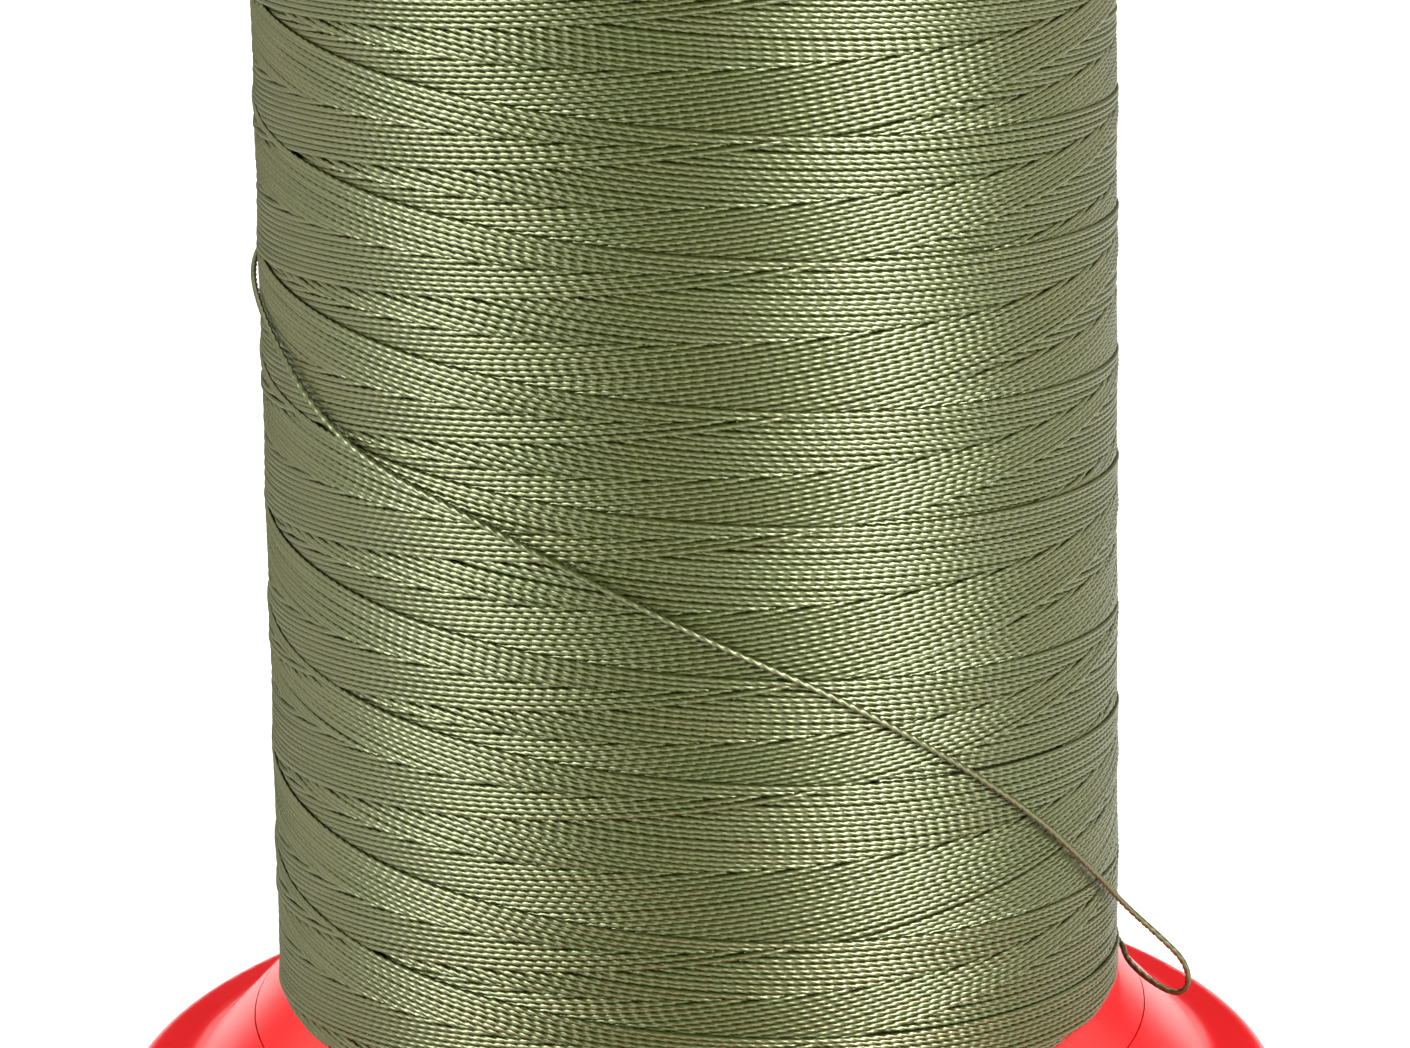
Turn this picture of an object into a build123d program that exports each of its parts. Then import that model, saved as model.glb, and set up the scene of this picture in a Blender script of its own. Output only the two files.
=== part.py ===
"""Foot spool of sewing thread.

A moulded tube with a conical flange carries the cross-wound thread. A separate flared foot
closes over the tube's lower end: its collar runs on the tube, and a bead on the tube, held in
a groove of the collar, lets the foot drop a little so that a thread end can be trapped in the
ring-shaped seam. Millimetres, +Z up, Z = 0 is the table, Z is the axis of the spool.
"""

import os
from math import cos, hypot, pi, radians, sin, tan

from build123d import *

os.makedirs("parts", exist_ok=True)

# ---- Driving dimensions ----
overall_height = 115.0
foot_diameter = 84.6

tube_outer_diameter = 30.0
tube_wall = 1.6
tube_floor_gap = 2.5

cone_angle = 47.4
flange_margin = 1.9
flange_edge_height = 9.3
flange_wall = 1.5

end_wall_recess = 2.5
end_wall = 2.0
pin_bore_diameter = 10.0
pin_boss_wall = 2.0
pin_boss_rise = 2.0
tube_mouth_chamfer = 0.6

label_thickness = 0.25
label_margin = 0.5

foot_wall = 1.6
collar_wall = 2.3
collar_floor_gap = 1.0
skirt_width = 4.6
rim_height = 3.0
rim_radius = 1.9
rim_toe_radius = 0.6
rim_land_width = 2.0
valley_blend_radius = 3.0
rib_count = 4
rib_thickness = 1.2

running_clearance = 0.08
seat_clearance = 0.1
snap_travel = 2.5
bead_height = 0.7
bead_width = 1.4
groove_clearance = 0.2

package_inset = 12.0
package_taper = 1.0
package_top_height = 99.0
package_crown_rise = 6.0
package_shoulder_radius = 3.0
package_toe_radius = 0.35

thread_diameter = 0.45

# Route of the loose thread end: azimuth (degrees, 0 towards -Y, positive towards +X),
# stand-off from the package's side at that height, and height.
TAIL_ROUTE = [
    (-166.0, 0.33, 67.4),
    (-150.0, 1.25, 66.8),
    (-124.0, 1.15, 65.9),
    (-98.0, 1.30, 65.3),
    (-72.0, 0.95, 63.6),
    (-50.0, 0.95, 57.5),
    (-26.0, 1.00, 54.3),
    (-2.0, 1.00, 48.1),
    (23.0, 1.05, 40.9),
    (46.0, 0.95, 31.8),
    (64.0, 0.75, 23.6),
    (77.0, 0.75, 18.7),
    (81.0, 3.30, 15.3),
    (83.0, 4.90, 13.1),
    (83.8, 5.20, 11.1),
    (84.6, 4.20, 10.1),
    (86.6, 2.20, 10.8),
    (90.8, 0.70, 11.5),
    (99.0, 1.10, 11.2),
    (119.0, 1.70, 11.0),
    (146.0, 1.80, 10.9),
    (171.0, 1.85, 10.8),
    (192.0, 2.20, 10.1),
    (206.0, 3.00, 9.0),
]

# ---- Derived dimensions ----
tube_radius = tube_outer_diameter / 2
tube_bore = tube_radius - tube_wall
foot_radius = foot_diameter / 2
toe_radius = foot_radius - package_inset
shoulder_radius = toe_radius - package_taper / 2
flange_radius = toe_radius + flange_margin
valley_radius = foot_radius - skirt_width
pin_bore = pin_bore_diameter / 2
pin_boss = pin_bore + pin_boss_wall
cone_slope = tan(radians(cone_angle))
flange_drop = flange_wall / cos(radians(cone_angle))
foot_drop = foot_wall / cos(radians(cone_angle))
end_wall_top = overall_height - end_wall_recess
end_wall_bottom = end_wall_top - end_wall
collar_bore = tube_radius + running_clearance
collar_radius = collar_bore + collar_wall
ledge_radius = flange_radius + running_clearance


def cone_height(radius):
    """Height of the cone's upper surface, shared by the flange and the foot."""
    return flange_edge_height - (radius - flange_radius) * cone_slope


def package_radius(height):
    """Radius of the package's side, which widens slightly towards the foot."""
    low = cone_height(toe_radius)
    share = (height - low) / (package_top_height - low)
    return toe_radius + share * (shoulder_radius - toe_radius)


# ---- Winding tube: tube, conical flange, end wall with pin boss, snap bead ----
bead_low = tube_floor_gap + 0.5
bead_top = bead_low + bead_width
bead_radius = tube_radius + bead_height

with BuildPart() as winding_tube:
    with BuildSketch(Plane.XZ) as tube_section:
        with BuildLine():
            Polyline(
                (tube_bore, tube_floor_gap),
                (tube_radius, tube_floor_gap),
                (bead_radius, bead_low),
                (bead_radius, (bead_low + bead_top) / 2),
                (tube_radius, bead_top),
                (tube_radius, cone_height(tube_radius) - flange_drop),
                (flange_radius, flange_edge_height - flange_drop),
                (flange_radius, flange_edge_height),
                (tube_radius, cone_height(tube_radius)),
                (tube_radius, overall_height),
                (tube_bore, overall_height),
                (tube_bore, end_wall_top),
                (pin_boss, end_wall_top),
                (pin_boss, end_wall_top + pin_boss_rise),
                (pin_bore, end_wall_top + pin_boss_rise),
                (pin_bore, end_wall_bottom),
                (tube_bore, end_wall_bottom),
                close=True,
            )
        make_face()
    revolve(axis=Axis.Z)
    mouth = winding_tube.edges().filter_by(GeomType.CIRCLE).group_by(Axis.Z)[-1]
    chamfer(mouth, length=tube_mouth_chamfer)

winding_tube.part.label = "winding_tube"
export_step(winding_tube.part, "parts/winding_tube.step")

# ---- Blank paper label in the recess of the tube's end wall ----
with BuildPart() as end_label:
    with BuildSketch(Plane.XY.offset(end_wall_top)):
        Circle(tube_bore - label_margin)
        Circle(pin_boss + label_margin, mode=Mode.SUBTRACT)
    extrude(amount=label_thickness)

end_label.part.label = "end_label"
export_step(end_label.part, "parts/end_label.step")

# ---- Base foot: ledge and seat for the flange, collar, flared skirt with a rolled rim, ribs ----
seat_drop = flange_drop + seat_clearance
under_drop = seat_drop + foot_drop
valley_height = cone_height(valley_radius)
skirt_slope = (valley_height - rim_height) / (foot_radius - valley_radius)
rim_inner = foot_radius - rim_land_width
step_radius = ledge_radius + foot_wall
groove_low = tube_floor_gap - groove_clearance
groove_top = bead_top + snap_travel + groove_clearance
groove_radius = bead_radius + groove_clearance


def skirt_height(radius):
    """Height of the skirt's upper surface, from the valley out to the rim."""
    return valley_height - (radius - valley_radius) * skirt_slope


def round_corner(section, corner, radius):
    """Fillet the one corner of a section that stands at this radius and height."""
    fillet(section.vertices().sort_by_distance(corner)[0], radius)


with BuildPart() as base_foot:
    with BuildSketch(Plane.XZ) as foot_section:
        with BuildLine():
            Polyline(
                (collar_bore, collar_floor_gap),
                (collar_bore, groove_low),
                (groove_radius, groove_low),
                (groove_radius, groove_top),
                (collar_bore, groove_top + bead_height),
                (collar_bore, cone_height(collar_bore) - seat_drop),
                (ledge_radius, cone_height(ledge_radius) - seat_drop),
                (ledge_radius, cone_height(ledge_radius)),
                (valley_radius, valley_height),
                (foot_radius, rim_height),
                (foot_radius, 0),
                (rim_inner, 0),
                (rim_inner, skirt_height(rim_inner) - foot_wall),
                (valley_radius, valley_height - foot_wall),
                (step_radius, cone_height(step_radius) - under_drop),
                (collar_radius, cone_height(collar_radius) - under_drop),
                (collar_radius, collar_floor_gap),
                close=True,
            )
        make_face()
        round_corner(foot_section, (valley_radius, valley_height), valley_blend_radius)
        round_corner(foot_section, (foot_radius, rim_height), rim_radius)
        round_corner(foot_section, (foot_radius, 0), rim_toe_radius)
    revolve(axis=Axis.Z)

    rib_inner = collar_radius - collar_wall / 3
    rib_lift = foot_drop / 3
    with BuildSketch(Plane.XZ) as rib_section:
        with BuildLine():
            Polyline(
                (rib_inner, collar_floor_gap),
                (step_radius, collar_floor_gap),
                (step_radius, cone_height(step_radius) - under_drop + rib_lift),
                (rib_inner, cone_height(rib_inner) - under_drop + rib_lift),
                close=True,
            )
        make_face()
    first_rib = extrude(amount=rib_thickness / 2, both=True, mode=Mode.PRIVATE)
    with PolarLocations(0, rib_count, start_angle=180 / rib_count):
        add(first_rib)

base_foot.part.label = "base_foot"
export_step(base_foot.part, "parts/base_foot.step")

# ---- Thread package: the wound thread as one closed ring on the tube and its flange ----
with BuildPart() as thread_package:
    with BuildSketch(Plane.XZ) as package_section:
        with BuildLine():
            Polyline(
                (tube_radius, cone_height(tube_radius)),
                (toe_radius, cone_height(toe_radius)),
                (shoulder_radius, package_top_height),
                (tube_radius, package_top_height + package_crown_rise),
                close=True,
            )
        make_face()
        round_corner(package_section, (shoulder_radius, package_top_height), package_shoulder_radius)
        round_corner(package_section, (toe_radius, cone_height(toe_radius)), package_toe_radius)
    revolve(axis=Axis.Z)

thread_package.part.label = "thread_package"
export_step(thread_package.part, "parts/thread_package.step")


# ---- Loose thread end: straight runs joined by tangent arcs ----
def tail_point(azimuth, standoff, height):
    """Place a route point at its stand-off from the package's side."""
    radius = package_radius(height) + standoff
    return Vector(radius * sin(radians(azimuth)), -radius * cos(radians(azimuth)), height)


tail_points = [tail_point(*entry) for entry in TAIL_ROUTE]
arc_radii = []
for before, corner, after in zip(tail_points, tail_points[1:], tail_points[2:]):
    shorter_run = min((corner - before).length, (after - corner).length)
    turn = (corner - before).get_angle(after - corner)
    arc_radii.append(0.45 * shorter_run / tan(radians(turn / 2)))
    print(f"tail turn {turn:5.1f} deg, arc radius {arc_radii[-1]:7.2f} mm, run {shorter_run:5.2f} mm")

with BuildPart() as thread_tail:
    with BuildLine() as tail_line:
        FilletPolyline(*tail_points, radius=arc_radii)
    start = Plane(origin=tail_points[0], z_dir=tail_points[1] - tail_points[0])
    with BuildSketch(start):
        Circle(thread_diameter / 2)
    sweep(path=tail_line.wires()[0])

tail_length = tail_line.wires()[0].length
tube_volume = pi * (thread_diameter / 2) ** 2 * tail_length
print(f"tail length {tail_length:.2f} mm, volume {thread_tail.part.volume:.3f} of {tube_volume:.3f} mm3")

thread_tail.part.label = "thread_tail"
export_step(thread_tail.part, "parts/thread_tail.step")
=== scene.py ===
"""Foot spool of olive sewing thread on its red snap-on foot.

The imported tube, foot and label get their materials here. The winding and the loose end are
real three-ply thread: the winding is laid up from its newest pass to its oldest, and only the
stretches that show are kept.
"""

import math

import bpy
import numpy as np
from mathutils import Matrix, Vector


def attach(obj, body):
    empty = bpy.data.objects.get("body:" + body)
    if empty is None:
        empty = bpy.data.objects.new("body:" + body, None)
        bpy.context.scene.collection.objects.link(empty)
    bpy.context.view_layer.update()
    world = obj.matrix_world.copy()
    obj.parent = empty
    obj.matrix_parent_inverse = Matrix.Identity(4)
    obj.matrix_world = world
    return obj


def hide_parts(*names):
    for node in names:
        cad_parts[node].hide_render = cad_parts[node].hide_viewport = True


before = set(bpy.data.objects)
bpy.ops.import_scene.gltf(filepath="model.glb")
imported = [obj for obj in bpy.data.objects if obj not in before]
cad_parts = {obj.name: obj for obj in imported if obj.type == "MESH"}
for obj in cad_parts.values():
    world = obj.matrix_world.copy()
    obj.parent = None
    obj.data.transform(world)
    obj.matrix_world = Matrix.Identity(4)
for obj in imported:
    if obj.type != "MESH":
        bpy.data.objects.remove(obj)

# Corners of a turned face that are one edge: share of sideways slope, degrees and metres
MOST_SIDEWAYS = 0.25
SLOPE_STEP = 30
SAME_PLACE = 2e-5

MM = 0.001
TURN = 2 * math.pi
SEED = 20

# The camera, in millimetres and degrees
CAMERA_PLACE = (0.0, -437.0, 186.3)
CAMERA_PITCH = 17.88
CAMERA_YAW = 0.119
CAMERA_ROLL = -0.863
CAMERA_LENS = 165.3
CAMERA_SENSOR = 36.0

# The winding's outline, in millimetres
TOE_RADIUS = 30.3
TOE_HEIGHT = 11.37
SIDE_TOP_RADIUS = 29.8
SIDE_TOP_HEIGHT = 99.0
CROWN_INNER_RADIUS = 15.0
CROWN_INNER_HEIGHT = 105.0
SHOULDER_FILLET = 3.0
CONE_EDGE_RADIUS = 32.2
CONE_EDGE_HEIGHT = 9.3
CONE_SLOPE = math.tan(math.radians(47.4))

# The mould's parting lines on the cone, in millimetres and degrees
PARTING_WIDTH = 0.26
PARTING_RISE = 0.07
PARTING_DEPTH = 0.1
PARTING_GAP = 0.1
PARTING_BEARINGS = (73.5, 253.5)
TUBE_FLANGE_RADIUS = 32.1
FOOT_LEDGE_RADIUS = 32.35
VALLEY_TOP_RADIUS = 36.4

# The thread, in millimetres: its plies, and how winding presses it lower and wider
THREAD_DIAMETER = 0.45
PLY_LAY = 2.7
PLIES = 3
PLY_OUTLINE = ((-26.0, 1.0), (26.0, 1.0), (60.0, 0.64))
DRAWN_RADIUS = 0.18
DRAWN_SPREAD = 1.28
RINGS_PER_LAY = 9
MOST_RINGS = 10800

# The grid on which the winding is laid up: columns round the spool, and rows in millimetres
COLUMNS = 580
ROW = 0.1

# The passes up and down the side. Cycles go to two groups in turn, and in each group a cycle
# lies one thread further round than the last. Phases are in degrees, heights and spreads in
# millimetres along the outline, spans in columns.
CYCLES = 66
TURNS_PER_CYCLE = 9
FIRST_PHASE = 132.6
GROUP_PHASES = (0.0, 138.0)
GROUP_ADVANCE = 367.4
SIDE_LOW = 0.42
SIDE_PAST_SHOULDER = 2.6
TURN_SPREAD_HIGH = 0.5
TURN_SPREAD_LOW = 0.15
TURN_SPAN = 31
LOWEST = 0.3
WANDER = 0.02
WANDER_SPAN = 110

# Where a pass lies: it sinks under newer thread, and the newest stand proud (millimetres, with
# spans and rows in cells of the grid and the age in passes)
SINK_DEPTH = 0.3
SINK_SPAN = 9
SHOWN_MARGIN = 4
COVER_ROWS = 2
MIDDLE_ROWS = 1
FRONT_RISE = 0.14
FRONT_AGE = 26.0

# The turning arcs over the crown, in millimetres, with their reach in columns
CROWN_PITCH = 18.8
CROWN_ROUND_OFF = 1.1
CROWN_START = 1.6
CROWN_STEP = 0.36
CROWN_ARCS = 11
CROWN_REACH = (48, 80)
CROWN_SPREAD = 0.1
CROWN_END_GAP = 0.3
ARC_END_GAP = 0.2

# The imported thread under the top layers, in millimetres
CORE_DEPTH = 1.1
CORE_ROWS = 12
CORE_GAP = 0.05
CORE_LIFT = 0.1
CORE_STEP = 0.5

# The loose end: bearing in degrees, stand-off from the winding and height in millimetres
TAIL_ROUTE = [
    (-166.0, 0.33, 67.4),
    (-150.0, 1.25, 66.8),
    (-124.0, 1.15, 65.9),
    (-98.0, 1.30, 65.3),
    (-72.0, 0.95, 63.6),
    (-50.0, 0.95, 57.5),
    (-26.0, 1.00, 54.3),
    (-2.0, 1.00, 48.1),
    (23.0, 1.05, 40.9),
    (46.0, 0.95, 31.8),
    (64.0, 0.75, 23.6),
    (77.0, 0.75, 18.7),
    (81.0, 3.30, 15.3),
    (83.0, 4.90, 13.1),
    (83.8, 5.20, 11.1),
    (84.6, 4.20, 10.1),
    (86.6, 2.20, 10.8),
    (90.8, 0.70, 11.5),
    (99.0, 1.10, 11.2),
    (119.0, 1.70, 11.0),
    (146.0, 1.80, 10.9),
    (171.0, 1.85, 10.8),
    (192.0, 2.20, 10.1),
    (206.0, 3.00, 9.0),
]
TAIL_RING_GAP = 0.00012

# The studio: places and sizes in metres, bearings in degrees, power in watts
MIDDLE = (0.0, 0.0, 0.055)
BACKDROP = (0.0, 0.2, 0.0)
WHITE = (1.0, 1.0, 1.0)
WARM = (1.0, 0.84, 0.72)
FLOOR_HALF = 3.0
FLOOR_SHADE = 0.95
WORLD_STRENGTH = 0.05


def save_size():
    """Brings the spool's present placements up to date."""
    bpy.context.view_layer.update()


# ---------------------------------------------------------------- camera

def add_camera():
    """A long lens that looks slightly down on the front of the spool."""
    pitch = math.radians(CAMERA_PITCH)
    yaw = math.radians(CAMERA_YAW)
    roll = math.radians(CAMERA_ROLL)
    ahead = Vector((math.sin(yaw) * math.cos(pitch), math.cos(yaw) * math.cos(pitch), -math.sin(pitch)))
    right = Vector((math.cos(yaw), -math.sin(yaw), 0.0))
    up = right.cross(ahead)
    tilted_right = right * math.cos(roll) + up * math.sin(roll)
    tilted_up = up * math.cos(roll) - right * math.sin(roll)
    data = bpy.data.cameras.new("camera")
    data.sensor_width = CAMERA_SENSOR
    data.lens = CAMERA_LENS
    data.clip_start = 0.01
    data.clip_end = 20.0
    camera = bpy.data.objects.new("camera", data)
    turn = Matrix((tilted_right, tilted_up, -ahead)).transposed()
    camera.matrix_world = Matrix.Translation(Vector(CAMERA_PLACE) * MM) @ turn.to_4x4()
    bpy.context.collection.objects.link(camera)
    bpy.context.scene.camera = camera


# ---------------------------------------------------------------- outline of the winding

def cone_height(radius):
    """Height of the cone that the flange and the foot share."""
    return CONE_EDGE_HEIGHT - (radius - CONE_EDGE_RADIUS) * CONE_SLOPE


def side_radius(height):
    """Radius of the winding's side, a little wider at the foot."""
    share = (height - TOE_HEIGHT) / (SIDE_TOP_HEIGHT - TOE_HEIGHT)
    return TOE_RADIUS + (SIDE_TOP_RADIUS - TOE_RADIUS) * share


def outline():
    """Points every ROW mm up the side, round the shoulder and in over the crown, with their normals."""
    crown = np.array([CROWN_INNER_RADIUS - SIDE_TOP_RADIUS, CROWN_INNER_HEIGHT - SIDE_TOP_HEIGHT])
    crown_length = float(np.hypot(*crown))
    crown /= crown_length
    side = np.array([SIDE_TOP_RADIUS - TOE_RADIUS, SIDE_TOP_HEIGHT - TOE_HEIGHT])
    side_length = float(np.hypot(*side))
    side /= side_length
    bend = math.acos(float(side @ crown))
    cut = SHOULDER_FILLET * math.tan(bend / 2)
    start = np.array([TOE_RADIUS, TOE_HEIGHT])
    corner = np.array([SIDE_TOP_RADIUS, SIDE_TOP_HEIGHT])
    side_out = np.array([side[1], -side[0]])
    centre = corner - side * cut - side_out * SHOULDER_FILLET
    lengths = [side_length - cut, SHOULDER_FILLET * bend, crown_length - cut]
    along = np.arange(0.0, sum(lengths), ROW)
    points = np.empty((len(along), 2))
    normals = np.empty((len(along), 2))
    for i, s in enumerate(along):
        if s < lengths[0]:
            points[i] = start + side * s
            normals[i] = side_out
        elif s < lengths[0] + lengths[1]:
            angle = (s - lengths[0]) / SHOULDER_FILLET
            normals[i] = side_out * math.cos(angle) + side * math.sin(angle)
            points[i] = centre + normals[i] * SHOULDER_FILLET
        else:
            points[i] = corner + crown * (s - lengths[0] - lengths[1] + cut)
            normals[i] = [crown[1], -crown[0]]
    return points, normals, lengths


OUTLINE, OUTLINE_NORMALS, OUTLINE_PARTS = outline()
SHOULDER_START = OUTLINE_PARTS[0]
OUTLINE_LENGTH = sum(OUTLINE_PARTS)


# ---------------------------------------------------------------- laying the thread

def eased(values, width):
    """A running mean of the same length."""
    edge = width // 2
    padded = np.pad(values, (edge, width - 1 - edge), mode="edge")
    return np.convolve(padded, np.full(width, 1 / width), mode="valid")


class Layup:
    """The top of the winding, found from the last thread laid down to the first, on a grid of cells."""

    def __init__(self):
        self.covered = np.zeros((COLUMNS, len(OUTLINE)), bool)
        self.runs = []

    def cells(self, columns, along, reach):
        """The cells that a thread covers, so many rows to each side of its middle."""
        steps = np.arange(-reach, reach + 1)
        rows = np.rint(along / ROW).astype(int)[:, None] + steps
        return columns[:, None] % COLUMNS, np.clip(rows, 0, len(OUTLINE) - 1)

    def lay_under(self, columns, along, rise):
        """Adds a thread beneath all the thread added before, and keeps the stretches that still show."""
        wide = self.cells(columns, along, COVER_ROWS)
        hidden = self.covered[wide]
        middle = self.cells(columns, along, MIDDLE_ROWS)
        sunk = eased(self.covered[middle].mean(axis=1), SINK_SPAN)
        height = rise - SINK_DEPTH * sunk
        reach = 2 * SHOWN_MARGIN
        shown = np.convolve(~hidden.all(axis=1), np.ones(reach + 1), mode="same") > 0
        self.covered[wide] = True
        edges = np.flatnonzero(np.diff(np.concatenate([[False], shown, [False]]).astype(int)))
        for start, end in zip(edges[::2], edges[1::2]):
            if end - start > reach:
                self.runs.append((columns[start:end], along[start:end], height[start:end]))


def wander(random, count, amount, every):
    """Slow unevenness along a thread."""
    knots = random.normal(0.0, amount, count // every + 3)
    return np.interp(np.arange(count) / every, np.arange(len(knots)), knots)


def lay_side(layup, random):
    """Thread traversed up and down the side, in bands that cross, the newest first."""
    low = SIDE_LOW
    high = SHOULDER_START + SIDE_PAST_SHOULDER
    order = np.arange(-CYCLES, 1)
    groups = len(GROUP_PHASES)
    phase = FIRST_PHASE + np.array(GROUP_PHASES)[order % groups] + (order // groups) * GROUP_ADVANCE
    starts = (order * TURNS_PER_CYCLE + phase / 360) * COLUMNS
    turns = np.sort(np.concatenate([starts, (starts[:-1] + starts[1:]) / 2]))
    columns = np.arange(int(turns[0]), int(turns[-1]))
    along = np.interp(columns, turns, np.where(np.arange(len(turns)) % 2, high, low))
    number = np.searchsorted(turns, columns) // 2
    along = np.minimum(along, (high - abs(random.normal(0.0, TURN_SPREAD_HIGH, CYCLES + 2)))[number])
    number = (np.searchsorted(turns, columns) + 1) // 2
    along = np.maximum(along, (low + abs(random.normal(0.0, TURN_SPREAD_LOW, CYCLES + 2)))[number])
    along = eased(along, TURN_SPAN) + wander(random, len(along), WANDER, WANDER_SPAN)
    along = np.clip(along, LOWEST, OUTLINE_LENGTH)
    cuts = np.searchsorted(columns, turns[1:-1])
    passes = list(zip(np.split(columns, cuts), np.split(along, cuts)))
    for age, (part, heights) in enumerate(reversed(passes)):
        layup.lay_under(part, heights, FRONT_RISE * math.exp(-age / FRONT_AGE))


def lay_crown(layup, random):
    """Turning arcs over the crown, from the shoulder inwards, each dipping under the ones before."""
    slope = CROWN_PITCH / COLUMNS
    last = OUTLINE_LENGTH - CROWN_END_GAP
    for start in np.arange(SHOULDER_START + CROWN_START, last, CROWN_STEP):
        for _ in range(CROWN_ARCS):
            reach = int(random.integers(*CROWN_REACH))
            span = np.arange(-reach, reach + 1)
            dip = np.sqrt((span * slope) ** 2 + CROWN_ROUND_OFF**2) - CROWN_ROUND_OFF
            along = start + random.normal(0.0, CROWN_SPREAD) - dip
            along = np.clip(along, 0.0, OUTLINE_LENGTH - ARC_END_GAP)
            layup.lay_under(span + int(random.integers(COLUMNS)), along, 0.0)


def thread_points(run):
    """A run's centreline and its outward normals, in metres."""
    columns, along, height = run
    places = along / ROW
    index = np.arange(len(OUTLINE))
    radius = np.interp(places, index, OUTLINE[:, 0])
    rise = np.interp(places, index, OUTLINE[:, 1])
    out = np.interp(places, index, OUTLINE_NORMALS[:, 0])
    up = np.interp(places, index, OUTLINE_NORMALS[:, 1])
    depth = height - DRAWN_RADIUS
    radius = radius + out * depth
    rise = rise + up * depth
    rise = np.maximum(rise, cone_height(radius) + DRAWN_RADIUS * math.hypot(1.0, CONE_SLOPE))
    angle = columns * TURN / COLUMNS
    points = np.stack([radius * np.sin(angle), -radius * np.cos(angle), rise], axis=1) * MM
    normals = np.stack([out * np.sin(angle), -out * np.cos(angle), up], axis=1)
    return points, normals


# ---------------------------------------------------------------- thread as geometry

def section():
    """Bearing and radius, as a share, round a three-ply thread's outline."""
    bearings = []
    shares = []
    for ply in range(PLIES):
        for bearing, share in PLY_OUTLINE:
            bearings.append(math.radians(bearing + ply * 360 / PLIES))
            shares.append(share)
    return np.array(bearings), np.array(shares)


def unit(vectors):
    """The same directions at length one."""
    return vectors / np.linalg.norm(vectors, axis=1)[:, None]


def travelled(points):
    """Length along a line up to each of its points."""
    return np.concatenate([[0.0], np.cumsum(np.linalg.norm(np.diff(points, axis=0), axis=1))])


def at_stops(stops, lengths, vectors):
    """Vectors given along a line, read off at other lengths."""
    return np.stack([np.interp(stops, lengths, vectors[:, i]) for i in range(3)], axis=1)


def regular(points, normals, shift):
    """The same line with so many points to a lay, begun at a given share of a step."""
    step = PLY_LAY / RINGS_PER_LAY * MM
    lengths = travelled(points)
    stops = np.arange(shift * step, lengths[-1], step)
    return at_stops(stops, lengths, points), at_stops(stops, lengths, normals)


def sweep(points, normals, radius, start_turn, spread=1.0):
    """Rings of a twisted thread round a centreline, pressed wider than it is high by the spread."""
    ahead = unit(np.gradient(points, axis=0))
    normals = unit(normals - ahead * (normals * ahead).sum(axis=1)[:, None])
    across = np.cross(ahead, normals)
    bearings, shares = section()
    angle = bearings[None, :] + (start_turn + travelled(points) * TURN / (PLY_LAY * MM))[:, None]
    wide = spread * across[:, None]
    offset = np.cos(angle)[..., None] * normals[:, None] + np.sin(angle)[..., None] * wide
    return points[:, None] + offset * (radius * shares)[None, :, None]


def swept_mesh(name, ring_sets):
    """One mesh of closed tubes, each given as an array of rings."""
    around = ring_sets[0].shape[1]
    side = np.arange(around)
    after = (side + 1) % around
    quads = []
    caps = []
    first = 0
    for rings in ring_sets:
        base = first + np.arange(len(rings) - 1)[:, None] * around
        ahead = base + around
        quads.append(np.stack([base + side, base + after, ahead + after, ahead + side], axis=2))
        caps.append(first + side[::-1])
        caps.append(first + (len(rings) - 1) * around + side)
        first += len(rings) * around
    quads = np.concatenate([q.reshape(-1, 4) for q in quads])
    caps = np.array(caps)
    corners = np.concatenate([quads.ravel(), caps.ravel()])
    sizes = np.concatenate([np.full(len(quads), 4), np.full(len(caps), around)])
    starts = np.concatenate([[0], np.cumsum(sizes)[:-1]])
    points = np.concatenate([r.reshape(-1, 3) for r in ring_sets])
    mesh = bpy.data.meshes.new(name)
    mesh.vertices.add(len(points))
    mesh.vertices.foreach_set("co", points.ravel())
    mesh.loops.add(len(corners))
    mesh.loops.foreach_set("vertex_index", corners.astype(np.int32))
    mesh.polygons.add(len(sizes))
    mesh.polygons.foreach_set("loop_start", starts.astype(np.int32))
    smooth = np.concatenate([np.ones(len(quads), bool), np.zeros(len(caps), bool)])
    mesh.polygons.foreach_set("use_smooth", smooth)
    mesh.update(calc_edges=True)
    mesh.validate()
    return mesh


def add_piece(name, mesh, body, material):
    """Puts a mesh in the scene as a piece that rides on a body."""
    piece = bpy.data.objects.new(name, mesh)
    bpy.context.collection.objects.link(piece)
    mesh.materials.clear()
    mesh.materials.append(material)
    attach(piece, body)
    return piece


# ---------------------------------------------------------------- the loose end

def tail_control_points():
    """The loose end's route in metres."""
    points = []
    for bearing, stand_off, height in TAIL_ROUTE:
        radius = side_radius(height) + stand_off
        angle = math.radians(bearing)
        points.append((radius * math.sin(angle) * MM, -radius * math.cos(angle) * MM, height * MM))
    return points


def tail_path():
    """The smooth curve through the loose end's route, as points."""
    curve = bpy.data.curves.new("tail_route", "CURVE")
    curve.dimensions = "3D"
    curve.resolution_u = 32
    spline = curve.splines.new("NURBS")
    route = tail_control_points()
    spline.points.add(len(route) - 1)
    for point, place in zip(spline.points, route):
        point.co = (*place, 1.0)
    spline.order_u = 3
    spline.use_endpoint_u = True
    guide = bpy.data.objects.new("tail_route", curve)
    bpy.context.collection.objects.link(guide)
    line = bpy.data.meshes.new_from_object(guide)
    points = np.array([v.co[:] for v in line.vertices])
    bpy.data.objects.remove(guide)
    bpy.data.curves.remove(curve)
    bpy.data.meshes.remove(line)
    return points


def evenly(points, spacing):
    """The same line with its points about the spacing apart."""
    lengths = travelled(points)
    stops = np.linspace(0.0, lengths[-1], int(lengths[-1] / spacing))
    return at_stops(stops, lengths, points)


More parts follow.
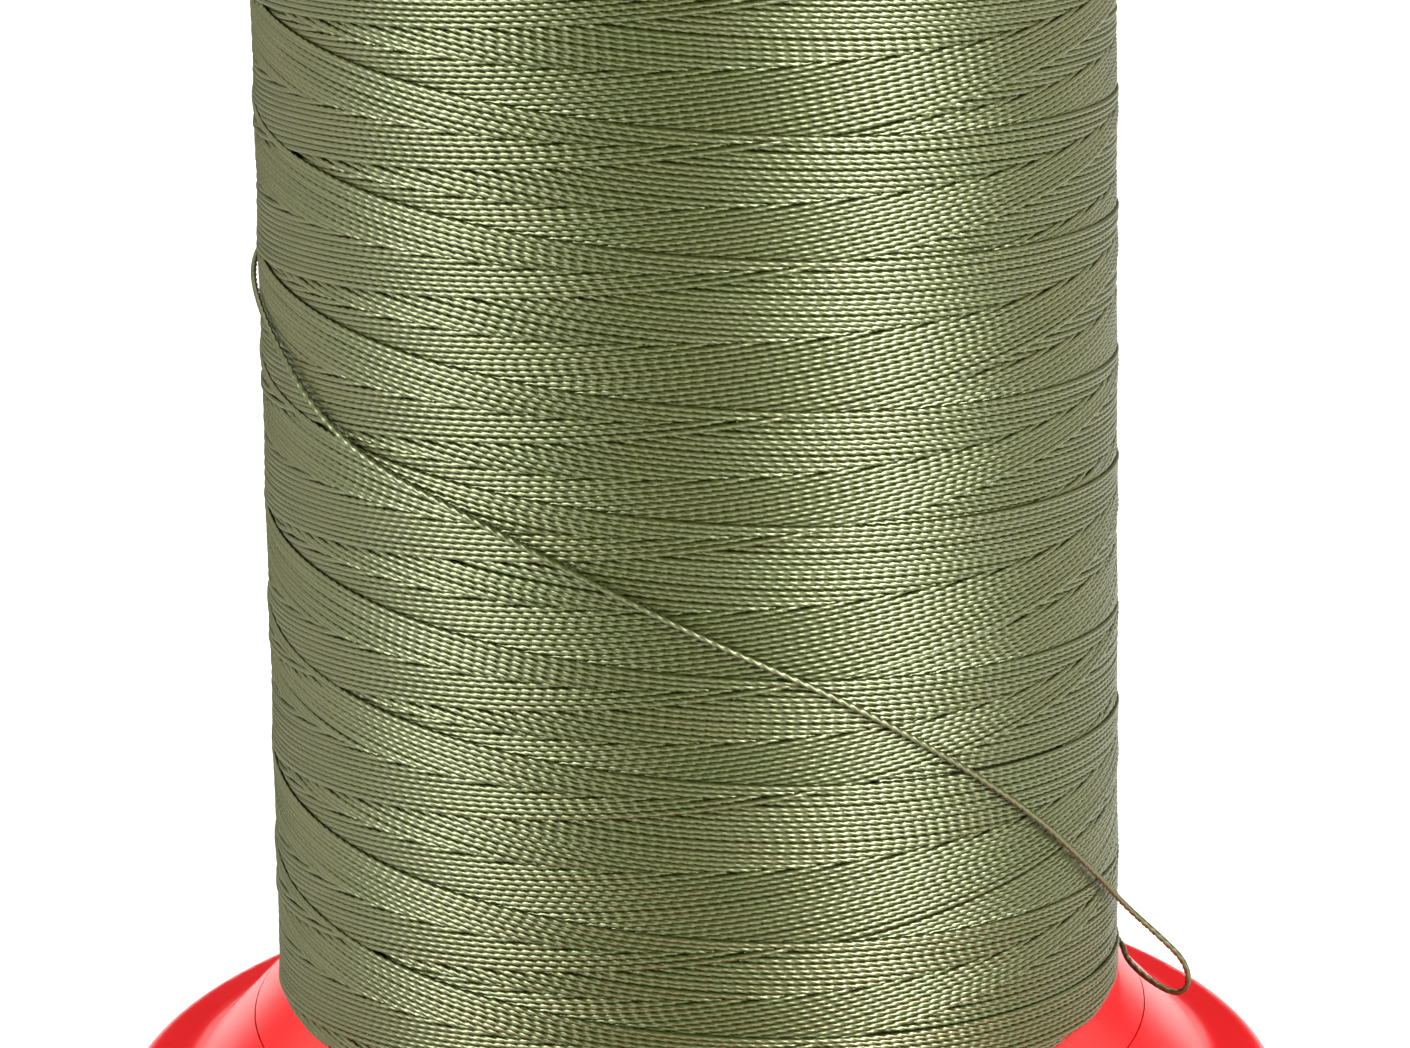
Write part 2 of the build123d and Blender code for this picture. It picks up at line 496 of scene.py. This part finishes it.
def carried_normals(points):
    """Normals that turn as little as they can along a line."""
    ahead = unit(np.gradient(points, axis=0))
    normal = np.array([points[0, 0], points[0, 1], 0.0])
    normals = []
    for heading in ahead:
        normal = normal - heading * (normal @ heading)
        normal = normal / np.linalg.norm(normal)
        normals.append(normal)
    return np.array(normals)


def add_tail(material):
    """The loose end, round as it is where nothing presses it."""
    points = evenly(tail_path(), TAIL_RING_GAP)
    rings = sweep(points, carried_normals(points), THREAD_DIAMETER / 2 * MM, 0.0)
    tail = add_piece("loose_thread", swept_mesh("loose_thread", [rings]), "spool", material)
    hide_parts("thread_tail")


# ---------------------------------------------------------------- the winding

def batched(ring_sets):
    """The threads in lists of at most so many rings, one for each piece."""
    batches = [[]]
    count = 0
    for rings in ring_sets:
        if count + len(rings) > MOST_RINGS:
            batches.append([])
            count = 0
        batches[-1].append(rings)
        count += len(rings)
    return batches


def add_winding(material, core_material):
    """The whole winding, as pieces of thread over a core of packed thread."""
    random = np.random.default_rng(SEED)
    layup = Layup()
    lay_side(layup, random)
    lay_crown(layup, random)
    ring_sets = []
    for run in layup.runs:
        points, normals = regular(*thread_points(run), random.uniform(0.0, 1.0))
        start_turn = random.uniform(0.0, TURN)
        ring_sets.append(sweep(points, normals, DRAWN_RADIUS * MM, start_turn, DRAWN_SPREAD))
    for number, batch in enumerate(batched(ring_sets), 1):
        name = f"thread_winding_{number:02d}"
        piece = add_piece(name, swept_mesh(name, batch), "spool", material)
        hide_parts("thread_package")
    core = add_piece("thread_core", core_mesh(), "spool", core_material)
    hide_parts("thread_package")


def core_mesh():
    """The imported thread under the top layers: a closed ring a little inside the outline."""
    outer = OUTLINE[::CORE_ROWS] - OUTLINE_NORMALS[::CORE_ROWS] * CORE_DEPTH
    inner_radius = CROWN_INNER_RADIUS + CORE_GAP
    outer = outer[outer[:, 0] > inner_radius + CORE_STEP]
    foot = cone_height(outer[0, 0]) + CORE_LIFT
    bottom = cone_height(inner_radius) + CORE_LIFT
    loop = [(inner_radius, bottom), (outer[0, 0], foot), *outer[1:], (inner_radius, outer[-1, 1])]
    return lathe_mesh("thread_core", loop)


def lathe_mesh(name, loop, around=144):
    """A closed loop of (radius, height) points turned round the axis."""
    loop = np.array(loop)
    angle = np.arange(around) * TURN / around
    points = np.stack(
        [
            loop[None, :, 0] * np.sin(angle)[:, None],
            -loop[None, :, 0] * np.cos(angle)[:, None],
            np.broadcast_to(loop[:, 1], (around, len(loop))),
        ],
        axis=2,
    )
    faces = []
    count = len(loop)
    for i in range(around):
        for j in range(count):
            a = i * count + j
            b = i * count + (j + 1) % count
            c = ((i + 1) % around) * count + (j + 1) % count
            d = ((i + 1) % around) * count + j
            faces.append((a, d, c, b))
    mesh = bpy.data.meshes.new(name)
    mesh.from_pydata((points.reshape(-1, 3) * MM).tolist(), [], faces)
    mesh.update()
    return mesh


# ---------------------------------------------------------------- materials

def srgb(red, green, blue):
    """Linear colour from 8-bit screen values."""
    parts = []
    for value in (red, green, blue):
        share = value / 255
        parts.append(share / 12.92 if share <= 0.04045 else ((share + 0.055) / 1.055) ** 2.4)
    return (*parts, 1.0)


def new_material(name):
    """An empty material with one principled shader."""
    material = bpy.data.materials.new(name)
    material.use_nodes = True
    nodes = material.node_tree.nodes
    nodes.clear()
    output = nodes.new("ShaderNodeOutputMaterial")
    shader = nodes.new("ShaderNodeBsdfPrincipled")
    material.node_tree.links.new(shader.outputs["BSDF"], output.inputs["Surface"])
    return material, shader


def noise_colours(material, shader, scale, colours, detail=3.0, stretch=(1.0, 1.0, 1.0)):
    """Base colour that drifts between the given (place, colour) stops with a noise over the object."""
    nodes, links = material.node_tree.nodes, material.node_tree.links
    where = nodes.new("ShaderNodeTexCoord")
    mapping = nodes.new("ShaderNodeMapping")
    noise = nodes.new("ShaderNodeTexNoise")
    ramp = nodes.new("ShaderNodeValToRGB")
    mapping.inputs["Scale"].default_value = stretch
    noise.inputs["Scale"].default_value = scale
    noise.inputs["Detail"].default_value = detail
    while len(ramp.color_ramp.elements) < len(colours):
        ramp.color_ramp.elements.new(0.5)
    for element, (place, colour) in zip(ramp.color_ramp.elements, colours):
        element.position = place
        element.color = colour
    links.new(where.outputs["Object"], mapping.inputs["Vector"])
    links.new(mapping.outputs["Vector"], noise.inputs["Vector"])
    links.new(noise.outputs["Fac"], ramp.inputs["Fac"])
    links.new(ramp.outputs["Color"], shader.inputs["Base Color"])


def thread_material():
    """Dark dyed filament with a strong greenish sheen."""
    material, shader = new_material("olive_thread")
    greens = [(0.30, srgb(36, 42, 8)), (0.50, srgb(38, 42, 9)), (0.70, srgb(41, 42, 10))]
    noise_colours(material, shader, 140.0, greens, stretch=(1.0, 1.0, 3.0))
    shader.inputs["Roughness"].default_value = 0.32
    shader.inputs["IOR"].default_value = 1.6
    shader.inputs["Specular IOR Level"].default_value = 1.0
    shader.inputs["Specular Tint"].default_value = (0.91, 1.0, 0.60, 1.0)
    return material


def core_thread_material():
    """The same thread in the gaps, without its sheen."""
    material, shader = new_material("packed_thread")
    noise_colours(material, shader, 900.0, [(0.35, srgb(44, 48, 22)), (0.65, srgb(62, 62, 32))])
    shader.inputs["Roughness"].default_value = 0.7
    return material


def red_plastic(name):
    """Glossy moulded plastic."""
    material, shader = new_material(name)
    reds = [(0.35, srgb(180, 5, 12)), (0.65, srgb(188, 7, 15))]
    noise_colours(material, shader, 55.0, reds, detail=2.0)
    shader.inputs["Roughness"].default_value = 0.3
    shader.inputs["IOR"].default_value = 1.46
    shader.inputs["Specular IOR Level"].default_value = 0.4
    return material


def label_material():
    """Plain paper with a fine fleck."""
    material, shader = new_material("label_paper")
    noise_colours(material, shader, 3000.0, [(0.3, srgb(176, 174, 165)), (0.7, srgb(188, 186, 178))])
    shader.inputs["Roughness"].default_value = 0.65
    return material


def dress(node, material, angle=30.0):
    """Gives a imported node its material, smooth except at edges sharper than the angle."""
    piece = bpy.data.objects[node]
    mesh = piece.data
    mesh.materials.clear()
    mesh.materials.append(material)
    mesh.shade_smooth()
    mesh.set_sharp_from_angle(angle=math.radians(angle))
    even_out_normals(mesh)


def add_parting_line(name, body, material, bearing, inner, outer):
    """A fine raised line down the cone, where the halves of the mould met."""
    half = PARTING_WIDTH / 2
    turn = math.radians(bearing)
    outward = Vector((math.sin(turn), -math.cos(turn), 0.0))
    across = Vector((math.cos(turn), math.sin(turn), 0.0))
    points = []
    for radius in (inner, outer):
        base = outward * radius + Vector((0.0, 0.0, cone_height(radius)))
        for side, lift in (
            (-half, -PARTING_DEPTH),
            (half, -PARTING_DEPTH),
            (half / 2, PARTING_RISE),
            (-half / 2, PARTING_RISE),
        ):
            points.append((base + across * side + Vector((0.0, 0.0, lift))) * MM)
    faces = [(3, 2, 1, 0), (4, 5, 6, 7), (0, 1, 5, 4), (1, 2, 6, 5), (2, 3, 7, 6), (3, 0, 4, 7)]
    mesh = bpy.data.meshes.new(name)
    mesh.from_pydata([tuple(point) for point in points], [], faces)
    mesh.update()
    add_piece(name, mesh, body, material)


def even_out_normals(mesh):
    """Gives all corners on one turned edge the same slope, so that turned faces shine evenly round."""
    count = len(mesh.loops)
    normals = np.empty(count * 3)
    mesh.corner_normals.foreach_get("vector", normals)
    normals = normals.reshape(-1, 3)
    places = np.empty(len(mesh.vertices) * 3)
    mesh.vertices.foreach_get("co", places)
    corners = np.empty(count, np.int32)
    mesh.loops.foreach_get("vertex_index", corners)
    places = places.reshape(-1, 3)[corners]
    radius = np.hypot(places[:, 0], places[:, 1])
    way = places[:, :2] / np.maximum(radius, 1e-9)[:, None]
    outward = (normals[:, :2] * way).sum(axis=1)
    sideways = normals[:, 0] * way[:, 1] - normals[:, 1] * way[:, 0]
    turned = (abs(sideways) < MOST_SIDEWAYS) & (radius > MM)
    slope = np.rint(np.degrees(np.arctan2(normals[:, 2], outward)) / SLOPE_STEP)
    keys = np.stack([np.rint(radius / SAME_PLACE), np.rint(places[:, 2] / SAME_PLACE), slope], axis=1)[turned]
    _, group = np.unique(keys, axis=0, return_inverse=True)
    group = group.ravel()
    out = np.bincount(group, outward[turned]) / np.bincount(group)
    up = np.bincount(group, normals[turned, 2]) / np.bincount(group)
    size = np.hypot(out, up)
    out, up = (out / size)[group], (up / size)[group]
    normals[turned] = np.stack([way[turned, 0] * out, way[turned, 1] * out, up], axis=1)
    mesh.normals_split_custom_set(normals.tolist())


# ---------------------------------------------------------------- studio

def add_floor():
    """A plain pale floor, level with the foot's underside."""
    material, shader = new_material("floor")
    shader.inputs["Base Color"].default_value = (FLOOR_SHADE, FLOOR_SHADE, FLOOR_SHADE, 1.0)
    shader.inputs["Roughness"].default_value = 0.9
    shader.inputs["Specular IOR Level"].default_value = 0.0
    corners = [(x * FLOOR_HALF, y * FLOOR_HALF, 0) for x, y in ((-1, -1), (1, -1), (1, 1), (-1, 1))]
    mesh = bpy.data.meshes.new("floor")
    mesh.from_pydata(corners, [], [(0, 1, 2, 3)])
    mesh.materials.append(material)
    floor = bpy.data.objects.new("floor", mesh)
    bpy.context.collection.objects.link(floor)


def add_soft_light(name, azimuth, elevation, distance, size, power, aim=MIDDLE, colour=WHITE):
    """A soft light standing at a bearing (azimuth 0 is the camera's side) and facing its aim."""
    turn = math.radians(azimuth)
    tilt = math.radians(elevation)
    way = Vector((math.sin(turn) * math.cos(tilt), -math.cos(turn) * math.cos(tilt), math.sin(tilt)))
    data = bpy.data.lights.new(name, "AREA")
    data.shape = "RECTANGLE"
    data.size, data.size_y = size
    data.energy = power
    data.color = colour
    light = bpy.data.objects.new(name, data)
    light.location = Vector(aim) + way * distance
    light.rotation_euler = way.to_track_quat("Z", "Y").to_euler()
    bpy.context.collection.objects.link(light)


def add_world(strength):
    """Even white light from all round."""
    world = bpy.data.worlds.new("studio")
    world.use_nodes = True
    background = world.node_tree.nodes["Background"]
    background.inputs["Color"].default_value = (1.0, 1.0, 1.0, 1.0)
    background.inputs["Strength"].default_value = strength
    bpy.context.scene.world = world


def add_studio():
    """The floor and the lights of a plain white product photo."""
    add_floor()
    add_world(WORLD_STRENGTH)
    add_soft_light("left_softbox", -61.0, 15.0, 0.7, (0.36, 0.6), 11.5)
    add_soft_light("right_softbox", 51.0, 15.0, 0.7, (0.36, 0.6), 16.0)
    add_soft_light("left_rim_light", -122.0, 28.0, 0.9, (0.7, 0.5), 2.3, colour=WARM)
    add_soft_light("right_rim_light", 122.0, 28.0, 0.9, (0.7, 0.5), 2.0, colour=WARM)
    add_soft_light("backdrop_light", 180.0, 70.0, 1.1, (1.0, 1.0), 11.0, aim=BACKDROP)
    bpy.context.scene.view_settings.view_transform = "Standard"


save_size()
add_camera()
thread = thread_material()
add_tail(thread)
add_winding(thread, core_thread_material())
foot_red = red_plastic("red_foot")
tube_red = red_plastic("red_tube")
dress("base_foot", foot_red)
dress("winding_tube", tube_red)
parting_start = TOE_RADIUS + PARTING_GAP
for number, bearing in enumerate(PARTING_BEARINGS, 1):
    name = f"parting_line_tube_{number}"
    add_parting_line(name, "spool", tube_red, bearing, parting_start, TUBE_FLANGE_RADIUS)
    name = f"parting_line_foot_{number}"
    add_parting_line(name, "foot", foot_red, bearing, FOOT_LEDGE_RADIUS, VALLEY_TOP_RADIUS)
dress("end_label", label_material())
add_studio()
save_size()
